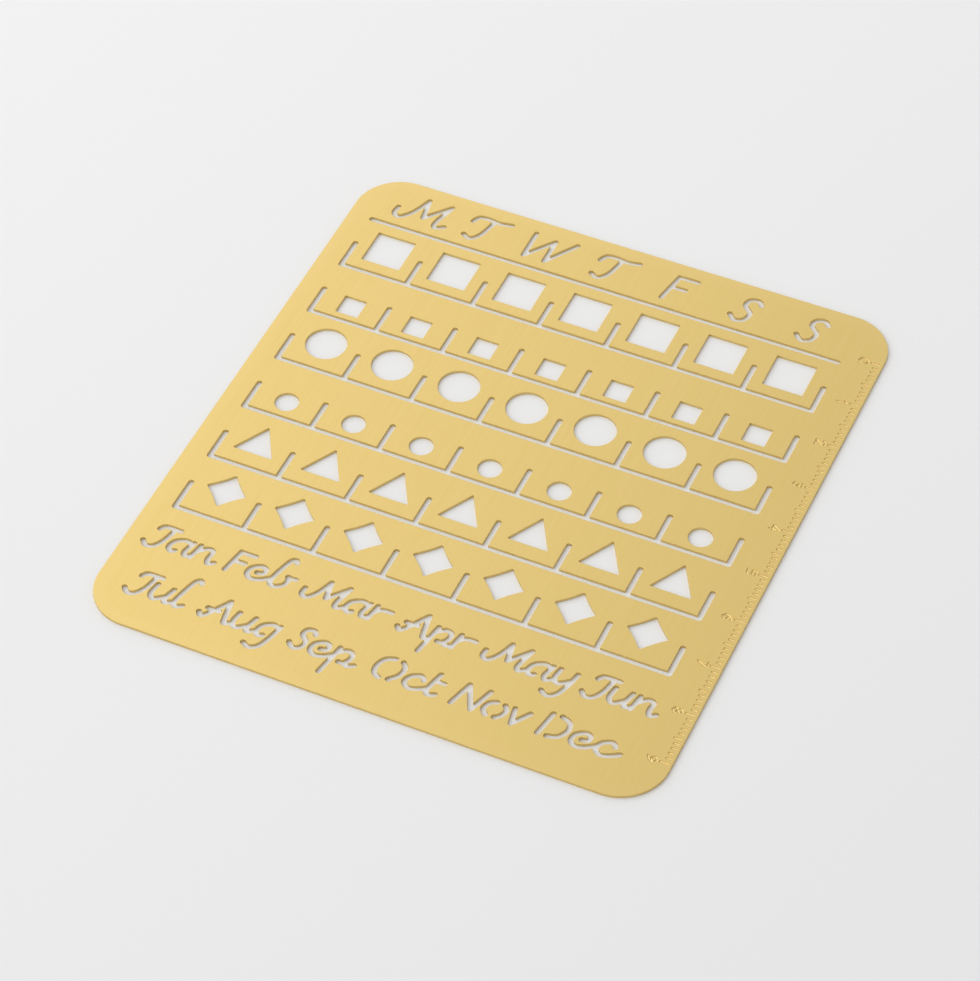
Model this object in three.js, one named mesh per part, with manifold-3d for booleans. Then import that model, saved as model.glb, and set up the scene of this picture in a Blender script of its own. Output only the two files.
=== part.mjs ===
// A pocket planner stencil: one thin brass sheet with a week grid, marker shapes and calendar
// lettering cut through it, and a millimetre scale etched half-way into its right-hand edge.
// Millimetres, +Z up. The sheet lies on z = 0 with its middle over the origin, its weekday edge
// towards +Y and its scale edge towards +X.
import * as THREE from "three";
import { mergeVertices } from "three/addons/utils/BufferGeometryUtils.js";
import Module from "manifold-3d";

// The sheet
const SHEET_WIDTH = 97;
const SHEET_HEIGHT = 108;
const SHEET_THICKNESS = 0.5;
const CORNER_RADIUS = 8;

// The week grid, from the sheet's edges to the centre lines of its slots
const COLUMNS = 7;
const GRID_LEFT_MARGIN = 4.4;
const GRID_RIGHT_MARGIN = 7.2;
const GRID_TOP_MARGIN = 11;
const GRID_BOTTOM_MARGIN = 25;
const SLOT_WIDTH = 0.9;

// The marker shapes, one kind to a row
const LARGE_SHAPE = 7;
const SMALL_SHAPE = 4;
const SMALL_SHAPE_LIFT = 1.5;
const POINTED_SHAPE_LIFT = 2.65;
const DIAMOND_SIDE_SAG = 0.12;

// The lettering: heights are of the capitals, between the middles of their strokes
const LETTER_STROKE = 0.85;
const LETTER_SLANT = 0.2;
const INITIAL_HEIGHT = 5.6;
const INITIAL_LIFT = 2.4;
const INITIAL_TUCK = 0.3;
const INITIAL_SHIFT = 0.5;
const MONTH_OVERHANG = 1.7;
const MONTH_DROP = 8.6;
const MONTH_FOOT = 6.6;
const FIRST_LINE_WORD_GAP = 2.2;
const SECOND_LINE_WORD_GAP = 2.85;

// The etched scale: marks a millimetre apart, longer at each fifth and tenth, numbered in centimetres
const MILLIMETRE = 1;
const MARKS_PER_NUMBER = 10;
const MARK_WIDTH = 0.4;
const MARK_EDGE_GAP = 0.55;
const MARK_LENGTH = 0.95;
const FIFTH_MARK_LENGTH = 1.35;
const TENTH_MARK_LENGTH = 1.6;
const NUMERAL_HEIGHT = 1.62;
const NUMERAL_STROKE = 0.36;
const NUMERAL_EDGE_GAP = 2.5;
const ETCH_DEPTH = 0.15;

// How finely the round stretches are faceted
const CORNER_STEPS = 4;
const LARGE_CIRCLE_STEPS = 12;
const SMALL_CIRCLE_STEPS = 9;
const DIAMOND_SIDE_STEPS = 3;
const SLOT_END_STEPS = 3;
const NUMERAL_END_STEPS = 2;
const CURVE_SPAN_STEPS = 6;
const CURVE_TOLERANCE_OF_STROKE = 0.05;
const CUTTER_OVERRUN = 1;

const INITIALS = ["M", "T", "W", "T", "F", "S", "S"];
const MONTH_LINES = [
  { text: "Jan Feb Mar Apr May Jun", wordGap: FIRST_LINE_WORD_GAP },
  { text: "Jul Aug Sep Oct Nov Dec", wordGap: SECOND_LINE_WORD_GAP },
];

// Upright single-stroke letters in a joined hand, on a square grid: each has the advance to the next
// letter, then its strokes, which are straight between two points and a smooth curve through more. No
// letter or join closes a ring, so no loose centre can fall out.
const CAPITAL_UNITS = 9;
const LETTERS = {
  A: [
    11.8,
    [[0, 1.2], [1.4, 0], [3, 1.8], [6.4, 9]],
    [[6.4, 9], [9, 1.6], [10, 0], [11.8, 1]],
    [[1.6, 3.8], [5.6, 3.8]],
  ],
  D: [10.1, [[0, 0], [0, 9]], [[3.2, 9], [6.4, 7.8], [7.8, 4.6], [6.4, 1.2], [3.2, 0]]],
  F: [6.6, [[0, 0], [0, 9]], [[0, 9], [5.4, 9]], [[0, 4.8], [4.2, 4.8]]],
  J: [
    8.6,
    [[1.6, 7.2], [2.6, 8.7], [5, 9], [8.4, 8.9]],
    [[6.4, 9], [6, 3], [4.4, -0.4], [2, -1], [0, 0.6]],
  ],
  M: [
    15.6,
    [[0, 3.6], [0.4, 1], [2.6, 0.2], [4.8, 3.4], [6, 9]],
    [[6, 9], [8.4, 2.2]],
    [[8.4, 2.2], [13, 9]],
    [[13, 9], [12.4, 2.2], [13.4, 0], [15.6, 1.2]],
  ],
  N: [10, [[0, 0], [1, 9]], [[1, 9], [7, 0]], [[7, 0], [8.4, 9]]],
  O: [
    11.1,
    [[3.8, 9], [1, 7.6], [0, 4.4], [1, 1.4], [3.4, 0]],
    [[6.8, 8.6], [8.6, 6.6], [8.6, 3.2], [6.6, 0.4]],
  ],
  S: [7, [[5.6, 7.6], [4.2, 9], [2, 8.4], [1.8, 6.2], [4.5, 3.8], [4.4, 1], [2.2, 0], [0, 1.6]]],
  T: [
    10.2,
    [[0, 6.6], [0.8, 8.6], [3.4, 9], [7, 8.6], [10.2, 9.2]],
    [[5.4, 8.8], [5, 2.6], [3.2, 0.1], [0.8, 1]],
  ],
  W: [12.4, [[0, 9], [1.8, 0]], [[1.8, 0], [6.4, 8]], [[6.4, 8], [8, 0]], [[8, 0], [12.4, 9]]],
  a: [
    9.4,
    [[6.4, 5.4], [3.8, 6], [1, 4.4], [0.4, 1.6], [2, 0], [3.4, 0.6]],
    [[6.8, 6], [6.3, 1.8], [7.4, 0], [9.4, 1.2]],
  ],
  b: [
    7.6,
    [[3.4, 12], [2.2, 13], [0.9, 11], [0.4, 2.4], [2.4, 0], [5, 1.2], [5.6, 3.6], [4.6, 5.4]],
    [[4.8, 5.2], [7.6, 5.4]],
  ],
  c: [8.4, [[5.6, 4.6], [3.8, 6], [1, 4.6], [0.4, 1.8], [2.8, 0], [5.6, 0.6], [8.4, 2.4]]],
  e: [
    8.6,
    [[3.4, 3], [5.4, 3.6], [4.9, 5.6], [2.8, 6], [0.5, 4.2], [0.6, 1.5], [3, 0], [6, 0.8], [8.6, 2.8]],
  ],
  g: [
    6.4,
    [[6, 5.4], [3.6, 6], [1, 4.4], [0.4, 1.6], [2, 0], [3.4, 0.6]],
    [[6.4, 6], [6, 0], [5, -4], [2.6, -5.6], [0, -4.6]],
  ],
  l: [4, [[3.4, 12], [2.2, 13], [0.9, 11], [0.4, 2.4], [1.8, 0], [4, 1]]],
  n: [8.4, [[0, 6], [0, 0]], [[0, 2.8], [2.6, 5.6], [5, 5.3], [5.4, 2], [6.6, 0], [8.4, 1]]],
  o: [8.9, [[2.6, 6], [0.6, 4.8], [0.2, 2], [2.2, 0]], [[5.6, 5.8], [7, 4], [6.6, 1.4], [5.2, 0.1]]],
  p: [
    8.2,
    [[0, 6], [0, -5.6]],
    [[0, 3.6], [2.6, 5.8], [5, 5.2], [5.5, 2.8], [4.4, 0.7], [2.9, 0.5]],
    [[4.6, 0.9], [6.2, 0], [8.2, 1]],
  ],
  r: [5.6, [[0, 6], [0, 0]], [[0, 3], [2, 5.1], [5.6, 5.3]]],
  t: [3.6, [[0.4, 9], [0, 2], [1.4, 0], [3.6, 0.8]], [[0.2, 6], [3.6, 6]]],
  u: [8.6, [[0, 6], [0.2, 1.8], [2.4, 0], [5.4, 2.4]], [[6, 6], [5.6, 1.8], [6.6, 0], [8.6, 1.2]]],
  v: [5.4, [[0, 6], [2.2, 0]], [[2.2, 0], [5.4, 6]]],
  y: [
    6,
    [[0, 6], [0.2, 2], [2.4, 0.4], [5.6, 2.8]],
    [[6, 6], [5.6, 0], [4.6, -4], [2.2, -5.6], [-0.4, -4.4]],
  ],
};

// Numerals of the scale, in the same form
const NUMERAL_UNITS = 6;
const NUMERALS = {
  0: [6, [[2, 6], [0.2, 4.6], [0.2, 1.4], [2, 0]], [[2, 0], [3.8, 1.4], [3.8, 4.6], [2, 6]]],
  1: [6, [[2, 0], [2, 6]], [[0.6, 4.6], [2, 6]]],
  2: [6, [[0.2, 4.6], [1.8, 6], [3.6, 4.4], [0.2, 0]], [[0.2, 0], [4, 0]]],
  3: [6, [[0.4, 5.4], [2.4, 6], [3.4, 4.4], [1.6, 3.2]], [[1.6, 3.2], [3.8, 2], [2.6, 0.2], [0.2, 0.6]]],
  4: [6, [[2.8, 6], [0.2, 1.8]], [[0.2, 1.8], [4, 1.8]], [[3.2, 3.4], [3.2, 0]]],
  5: [6, [[3.6, 6], [0.6, 6]], [[0.6, 6], [0.4, 3.4]], [[0.4, 3.4], [3, 3.6], [3.4, 0.8], [0.2, 0.4]]],
  6: [6, [[3.2, 5.8], [1, 4.4], [0.2, 1.8], [1.6, 0]], [[1.6, 0], [3.6, 1.2], [2.6, 3.4], [0.4, 2.6]]],
  7: [6, [[0.2, 6], [3.8, 6]], [[3.8, 6], [1.2, 0]]],
  8: [
    6,
    [[2, 3.2], [0.5, 4.6], [2, 6]],
    [[2, 6], [3.5, 4.6], [2, 3.2]],
    [[2, 3.2], [0.2, 1.6], [2, 0]],
    [[2, 0], [3.8, 1.6], [2, 3.2]],
  ],
  9: [6, [[3.6, 3.4], [1.4, 2.6], [0.4, 4.8], [2.4, 6]], [[2.4, 6], [3.8, 4.2], [3, 1.6], [0.8, 0.2]]],
};

const wasm = await Module();
wasm.setup();

// Places worked out from the driving dimensions
const sheetLeft = -SHEET_WIDTH / 2;
const sheetRight = SHEET_WIDTH / 2;
const sheetTop = SHEET_HEIGHT / 2;
const sheetBottom = -SHEET_HEIGHT / 2;
const gridLeft = sheetLeft + GRID_LEFT_MARGIN;
const gridRight = sheetRight - GRID_RIGHT_MARGIN;
const gridTop = sheetTop - GRID_TOP_MARGIN;
const gridBottom = sheetBottom + GRID_BOTTOM_MARGIN;
const gridMiddle = (gridLeft + gridRight) / 2;
const columnPitch = (gridRight - gridLeft) / COLUMNS;

function point(x, y) {
  return new THREE.Vector2(x, y);
}

function solidOf(geometry) {
  geometry.deleteAttribute("normal");
  geometry.deleteAttribute("uv");
  const merged = mergeVertices(geometry);
  return new wasm.Manifold(new wasm.Mesh({
    numProp: 3,
    vertProperties: new Float32Array(merged.attributes.position.array),
    triVerts: new Uint32Array(merged.index.array),
  }));
}

function geometryOf(solid) {
  const mesh = solid.getMesh();
  const geometry = new THREE.BufferGeometry();
  geometry.setAttribute("position", new THREE.BufferAttribute(mesh.vertProperties, 3));
  geometry.setIndex(new THREE.BufferAttribute(mesh.triVerts, 1));
  geometry.computeVertexNormals();
  return geometry;
}

// A solid standing on an outline, from one height to another
function prism(outline, bottom, top, curveSegments = 1) {
  const settings = { depth: top - bottom, bevelEnabled: false, curveSegments };
  return solidOf(new THREE.ExtrudeGeometry(outline, settings).translate(0, 0, bottom));
}

function throughCut(outline, curveSegments) {
  return prism(outline, -CUTTER_OVERRUN, SHEET_THICKNESS + CUTTER_OVERRUN, curveSegments);
}

function halfEtch(outline) {
  return prism(outline, SHEET_THICKNESS - ETCH_DEPTH, SHEET_THICKNESS + CUTTER_OVERRUN);
}

// Outline of a round-ended slot of one width along a path. On the inside of a bend that is tighter
// than the slot, the points that fold back over the path are left out.
function slotOutline(path, width, endSteps) {
  const radius = width / 2;
  const last = path.length - 1;
  const step = (i) => path[i + 1].clone().sub(path[i]).normalize();
  const headings = path.map((_, i) => step(Math.max(i - 1, 0)).add(step(Math.min(i, last - 1))).angle());
  const around = (centre, angle) =>
    point(centre.x + radius * Math.cos(angle), centre.y + radius * Math.sin(angle));
  const tooNear = radius - width * CURVE_TOLERANCE_OF_STROKE;
  const isClear = (p) => path.every((q) => q.distanceTo(p) > tooNear);
  const side = (turn) => path.map((p, i) => around(p, headings[i] + turn)).filter(isClear);
  const roundEnd = (centre, heading) =>
    Array.from({ length: endSteps - 1 }, (_, k) =>
      around(centre, heading + Math.PI * (0.5 - (k + 1) / endSteps)));
  return new THREE.Shape([
    ...side(Math.PI / 2),
    ...roundEnd(path[last], headings[last]),
    ...side(-Math.PI / 2).reverse(),
    ...roundEnd(path[0], headings[0] + Math.PI),
  ]);
}

function sheetOutline() {
  const outline = new THREE.Shape();
  const quarter = Math.PI / 2;
  const inX = sheetRight - CORNER_RADIUS;
  const inY = sheetTop - CORNER_RADIUS;
  const centres = [[inX, inY], [-inX, inY], [-inX, -inY], [inX, -inY]];
  centres.forEach(([x, y], i) => outline.absarc(x, y, CORNER_RADIUS, i * quarter, (i + 1) * quarter));
  return outline;
}

function squareOutline(x, y, size) {
  const h = size / 2;
  const corners = [[-h, -h], [h, -h], [h, h], [-h, h]];
  return new THREE.Shape(corners.map(([right, up]) => point(x + right, y + up)));
}

function circleOutline(x, y, size) {
  return new THREE.Shape().absarc(x, y, size / 2, 0, 2 * Math.PI);
}

// An equal-sided triangle, point up, with half its height above the middle
function triangleOutline(x, y, size) {
  const halfHeight = size * Math.sqrt(3) / 4;
  return new THREE.Shape([
    point(x - size / 2, y - halfHeight),
    point(x + size / 2, y - halfHeight),
    point(x, y + halfHeight),
  ]);
}

// A diamond whose four sides curve in a little
function diamondOutline(x, y, size) {
  const reach = size / 2;
  const pull = (reach - 2 * Math.SQRT2 * DIAMOND_SIDE_SAG) / 2;
  const outline = new THREE.Shape().moveTo(x + reach, y);
  outline.quadraticCurveTo(x + pull, y + pull, x, y + reach);
  outline.quadraticCurveTo(x - pull, y + pull, x - reach, y);
  outline.quadraticCurveTo(x - pull, y - pull, x, y - reach);
  outline.quadraticCurveTo(x + pull, y - pull, x + reach, y);
  return outline;
}

// The marker rows from the top down. The square that a shape is drawn in stands over its base line by
// its lift, and one without a lift is half-way between two base lines.
const ROWS = [
  { outline: squareOutline, size: LARGE_SHAPE },
  { outline: squareOutline, size: SMALL_SHAPE, lift: SMALL_SHAPE_LIFT },
  { outline: circleOutline, size: LARGE_SHAPE, steps: LARGE_CIRCLE_STEPS },
  { outline: circleOutline, size: SMALL_SHAPE, lift: SMALL_SHAPE_LIFT, steps: SMALL_CIRCLE_STEPS },
  { outline: triangleOutline, size: LARGE_SHAPE, lift: POINTED_SHAPE_LIFT },
  { outline: diamondOutline, size: LARGE_SHAPE, lift: POINTED_SHAPE_LIFT, steps: DIAMOND_SIDE_STEPS },
];
const rowPitch = (gridTop - gridBottom) / ROWS.length;

function straightSlot(from, to) {
  return throughCut(slotOutline([from, to], SLOT_WIDTH, SLOT_END_STEPS));
}

// The rule under the weekday initials, and a base line with upright stubs for each row
function weekGridCuts() {
  const cuts = [straightSlot(point(gridLeft, gridTop), point(gridRight, gridTop))];
  const stubHeight = rowPitch / 2 - SLOT_WIDTH / 2;
  for (let row = 1; row <= ROWS.length; row += 1) {
    const baseLine = gridTop - row * rowPitch;
    cuts.push(straightSlot(point(gridLeft, baseLine), point(gridRight, baseLine)));
    for (let column = 0; column <= COLUMNS; column += 1) {
      const x = gridLeft + column * columnPitch;
      cuts.push(straightSlot(point(x, baseLine), point(x, baseLine + stubHeight)));
    }
  }
  return cuts;
}

function markerCuts() {
  return ROWS.flatMap(({ outline, size, steps, lift = (rowPitch - size) / 2 }, row) => {
    const y = gridTop - (row + 1) * rowPitch + lift + size / 2;
    return Array.from({ length: COLUMNS }, (_, column) => {
      const x = gridLeft + (column + 0.5) * columnPitch;
      return throughCut(outline(x, y, size), steps);
    });
  });
}

// Sets characters along their base line, slanted, and returns their strokes with the line's middle at
// zero. A unit is the grid's real size.
function setLine(text, alphabet, unit, { wordGap = 0, slant = 0 } = {}) {
  const strokes = [];
  let pen = 0;
  for (const character of text) {
    if (character === " ") {
      pen += wordGap;
      continue;
    }
    const [advance, ...glyph] = alphabet[character];
    const place = ([x, y]) => point(pen + (x + slant * y) * unit, y * unit);
    strokes.push(...glyph.map((stroke) => stroke.map(place)));
    pen += advance * unit;
  }
  const middle = lineLength(strokes) / 2 + Math.min(...strokes.flat().map((p) => p.x));
  strokes.flat().forEach((p) => p.setX(p.x - middle));
  return strokes;
}

function lineLength(strokes) {
  const allX = strokes.flat().map((p) => p.x);
  return Math.max(...allX) - Math.min(...allX);
}

// A smooth curve through the points, faceted so that no chord strays by more than a small share of
// the stroke that follows it
function smoothPath(points, stroke) {
  if (points.length === 2) return points;
  const fine = new THREE.SplineCurve(points).getPoints((points.length - 1) * CURVE_SPAN_STEPS);
  const path = [fine[0]];
  let anchor = 0;
  for (let i = 2; i < fine.length; i += 1) {
    const chord = fine[i].clone().sub(fine[anchor]);
    const limit = stroke * CURVE_TOLERANCE_OF_STROKE * chord.length();
    const offset = (p) => Math.abs(chord.cross(p.clone().sub(fine[anchor])));
    if (fine.slice(anchor + 1, i).some((p) => offset(p) > limit)) {
      anchor = i - 1;
      path.push(fine[anchor]);
    }
  }
  return [...path, fine.at(-1)];
}

// Cuts a set line through the sheet, with the middle of its base line at x, y
function letteringCuts(strokes, x, y) {
  return strokes.map((stroke) => {
    const path = smoothPath(stroke.map((p) => point(x + p.x, y + p.y)), LETTER_STROKE);
    return throughCut(slotOutline(path, LETTER_STROKE, SLOT_END_STEPS));
  });
}

// The initials stand a little closer together than the columns and right of their middle
function initialCuts() {
  const pitch = columnPitch - INITIAL_TUCK;
  return INITIALS.flatMap((letter, i) => {
    const x = gridMiddle + INITIAL_SHIFT + (i - (INITIALS.length - 1) / 2) * pitch;
    const strokes = setLine(letter, LETTERS, INITIAL_HEIGHT / CAPITAL_UNITS, { slant: LETTER_SLANT });
    return letteringCuts(strokes, x, gridTop + INITIAL_LIFT);
  });
}

// The first month line runs past the grid by the overhang at each end, which sets the unit of all the
// lines. They are spread between the first base line and the last.
function monthCuts() {
  const slant = LETTER_SLANT;
  const [{ text: firstText, wordGap: firstGap }] = MONTH_LINES;
  const strokeRoom = gridRight - gridLeft + 2 * MONTH_OVERHANG - LETTER_STROKE;
  const letterRoom = strokeRoom - (firstText.split(" ").length - 1) * firstGap;
  const unit = letterRoom / lineLength(setLine(firstText, LETTERS, 1, { slant }));
  const firstBase = gridBottom - MONTH_DROP;
  const leading = (firstBase - sheetBottom - MONTH_FOOT) / (MONTH_LINES.length - 1);
  return MONTH_LINES.flatMap(({ text, wordGap }, line) => {
    const strokes = setLine(text, LETTERS, unit, { wordGap, slant });
    return letteringCuts(strokes, gridMiddle, firstBase - line * leading);
  });
}

// The scale runs down the right-hand edge between the rounded corners, as many whole centimetres as
// fit. Its numerals lie on their side, with their tops towards the edge.
function scaleEtches() {
  const numberPitch = MARKS_PER_NUMBER * MILLIMETRE;
  const numbers = Math.floor((SHEET_HEIGHT - 2 * CORNER_RADIUS) / numberPitch);
  const start = numbers * numberPitch / 2;
  const markEnd = sheetRight - MARK_EDGE_GAP;
  const etches = [];
  for (let mark = 0; mark <= numbers * MARKS_PER_NUMBER; mark += 1) {
    const y = start - mark * MILLIMETRE;
    const isTenth = mark % MARKS_PER_NUMBER === 0;
    const isFifth = mark % (MARKS_PER_NUMBER / 2) === 0;
    const length = isTenth ? TENTH_MARK_LENGTH : isFifth ? FIFTH_MARK_LENGTH : MARK_LENGTH;
    const corners = [[-length, -1], [0, -1], [0, 1], [-length, 1]];
    etches.push(halfEtch(new THREE.Shape(
      corners.map(([along, side]) => point(markEnd + along, y + side * MARK_WIDTH / 2)))));
    if (isTenth) etches.push(...numeralEtches(String(mark / MARKS_PER_NUMBER), y));
  }
  return etches;
}

function numeralEtches(digits, y) {
  const foot = sheetRight - NUMERAL_EDGE_GAP - NUMERAL_HEIGHT;
  return setLine(digits, NUMERALS, NUMERAL_HEIGHT / NUMERAL_UNITS).map((stroke) => {
    const points = stroke.map((p) => point(foot + p.y, y - p.x));
    return halfEtch(slotOutline(smoothPath(points, NUMERAL_STROKE), NUMERAL_STROKE, NUMERAL_END_STEPS));
  });
}

function stencilSheet() {
  const blank = prism(sheetOutline(), 0, SHEET_THICKNESS, CORNER_STEPS);
  const cutters = [...weekGridCuts(), ...markerCuts(), ...initialCuts(), ...monthCuts(), ...scaleEtches()];
  const solid = cutters.reduce((sheet, cutter) => sheet.subtract(cutter), blank);
  const satinBrass = new THREE.MeshStandardMaterial({ color: 0xe3c780, roughness: 0.45, metalness: 1 });
  const mesh = new THREE.Mesh(geometryOf(solid), satinBrass);
  mesh.name = "stencil_sheet";
  return mesh;
}

const plannerStencil = new THREE.Group();
plannerStencil.add(stencilSheet());

export default plannerStencil;
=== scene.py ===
"""The looks of a pocket planner stencil: one sheet of satin brass with a week grid, marker shapes and
calendar lettering etched right through it, and a millimetre scale etched half-way into one edge.

All the cuts are first drawn flat, as one plan in millimetres. Geometry Nodes repeat the cuts of the
grid and the scale, a triangulation joins the cuts that overlap, and the sheet is raised from the plan
with etched walls and softly rounded rims.
"""
import math

import bpy
from mathutils import Matrix, Quaternion, Vector
from mathutils.geometry import delaunay_2d_cdt


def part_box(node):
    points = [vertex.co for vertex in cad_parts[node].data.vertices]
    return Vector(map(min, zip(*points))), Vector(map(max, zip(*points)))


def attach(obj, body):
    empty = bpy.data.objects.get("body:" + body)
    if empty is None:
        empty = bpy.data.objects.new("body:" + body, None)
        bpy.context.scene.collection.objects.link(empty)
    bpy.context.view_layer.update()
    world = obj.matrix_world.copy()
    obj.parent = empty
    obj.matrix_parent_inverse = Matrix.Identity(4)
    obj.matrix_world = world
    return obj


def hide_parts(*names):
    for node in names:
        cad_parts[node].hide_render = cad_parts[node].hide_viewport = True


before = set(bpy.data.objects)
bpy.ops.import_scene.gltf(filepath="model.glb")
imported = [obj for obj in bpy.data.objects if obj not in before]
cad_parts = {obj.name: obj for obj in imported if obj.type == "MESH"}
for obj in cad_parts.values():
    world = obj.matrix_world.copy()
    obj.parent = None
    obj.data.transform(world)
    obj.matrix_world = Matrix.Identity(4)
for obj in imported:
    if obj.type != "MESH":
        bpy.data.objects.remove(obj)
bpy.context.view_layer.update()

MM = 0.001

# The sheet, in millimetres, from the frame
sheet_left, sheet_bottom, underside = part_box("stencil_sheet")[0] / MM
sheet_right, sheet_top, upper_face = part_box("stencil_sheet")[1] / MM
CORNER_RADIUS = 8.0

# The week grid, from the sheet's edges to the centre lines of its slots
COLUMNS = 7
GRID_LEFT_MARGIN = 4.4
GRID_RIGHT_MARGIN = 7.2
GRID_TOP_MARGIN = 11.0
GRID_BOTTOM_MARGIN = 25.0
SLOT_WIDTH = 0.9

# The marker shapes. Etching eases the corners of a cut a little.
LARGE_SHAPE = 7.0
SMALL_SHAPE = 4.0
SMALL_SHAPE_LIFT = 1.5
POINTED_SHAPE_LIFT = 2.65
DIAMOND_SIDE_SAG = 0.12
DIAMOND_TIP_RADIUS = 0.25
CUT_CORNER_RADIUS = 0.12

# The lettering: heights are of the capitals, between the middles of their strokes
LETTER_STROKE = 0.85
LETTER_SLANT = 0.2
INITIAL_HEIGHT = 5.6
INITIAL_LIFT = 2.4
INITIAL_TUCK = 0.3
INITIAL_SHIFT = 0.5
MONTH_OVERHANG = 1.7
MONTH_DROP = 8.6
MONTH_FOOT = 6.6

# The etched scale, numbered in centimetres. Its marks are a millimetre apart, and each length is that of
# every first, fifth or tenth mark.
MARKS_PER_NUMBER = 10
NUMBERS = 9
MARK_WIDTH = 0.4
MARK_EDGE_GAP = 0.55
MARK_LENGTHS = {1: 0.95, 5: 1.35, 10: 1.6}
MARK_CORNER_RADIUS = 0.08
NUMERAL_HEIGHT = 1.62
NUMERAL_STROKE = 0.36
NUMERAL_EDGE_GAP = 2.5

# Edges: both faces are etched at once, so a wall keeps a low ridge half-way down, and the rims are soft.
# A mark's floor is flat, but its normals lean in from its walls, as on the shallow hollow of an etch.
ETCH_DEPTH = 0.15
ETCH_FLOOR_FILLET = 0.06
ETCH_FLOOR_LEAN = math.radians(62)
RIM_RADIUS = 0.05
MARK_RIM_RADIUS = 0.03
WALL_RIDGE = 0.03

# How finely the round stretches and the strokes are drawn
CIRCLE_STEPS = 96
CORNER_STEPS = 24
CUT_CORNER_STEPS = 5
DIAMOND_SIDE_STEPS = 12
SLOT_END_STEPS = 10
CURVE_SPAN_STEPS = 7
RIM_STEPS = 3
FILLET_STEPS = 3

# How outlines are kept clean. The shortest edge, and the distance at which points of the plan are one,
# are in millimetres. The sides of a slot keep nearly its half-width from its path, and a ring at an
# inset keeps a least share of each edge. A mitre is a multiple of its inset: one past the sharp one is
# a corner that isn't shaded smooth, and the least spread keeps it finite where an edge turns back.
SHORTEST_EDGE = 0.02
PLAN_TOLERANCE = 1e-4
LEAST_SIDE_SHARE = 0.998
LEAST_RING_SHARE = 0.1
SHARP_MITRE = 1.06
LONGEST_MITRE = 4.0
LEAST_MITRE_SPREAD = 1e-6

# The words. Each line of months comes with the gap between its words in millimetres.
INITIALS = "MTWTFSS"
MONTH_LINES = [("Jan Feb Mar Apr May Jun", 2.2), ("Jul Aug Sep Oct Nov Dec", 2.85)]

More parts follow.
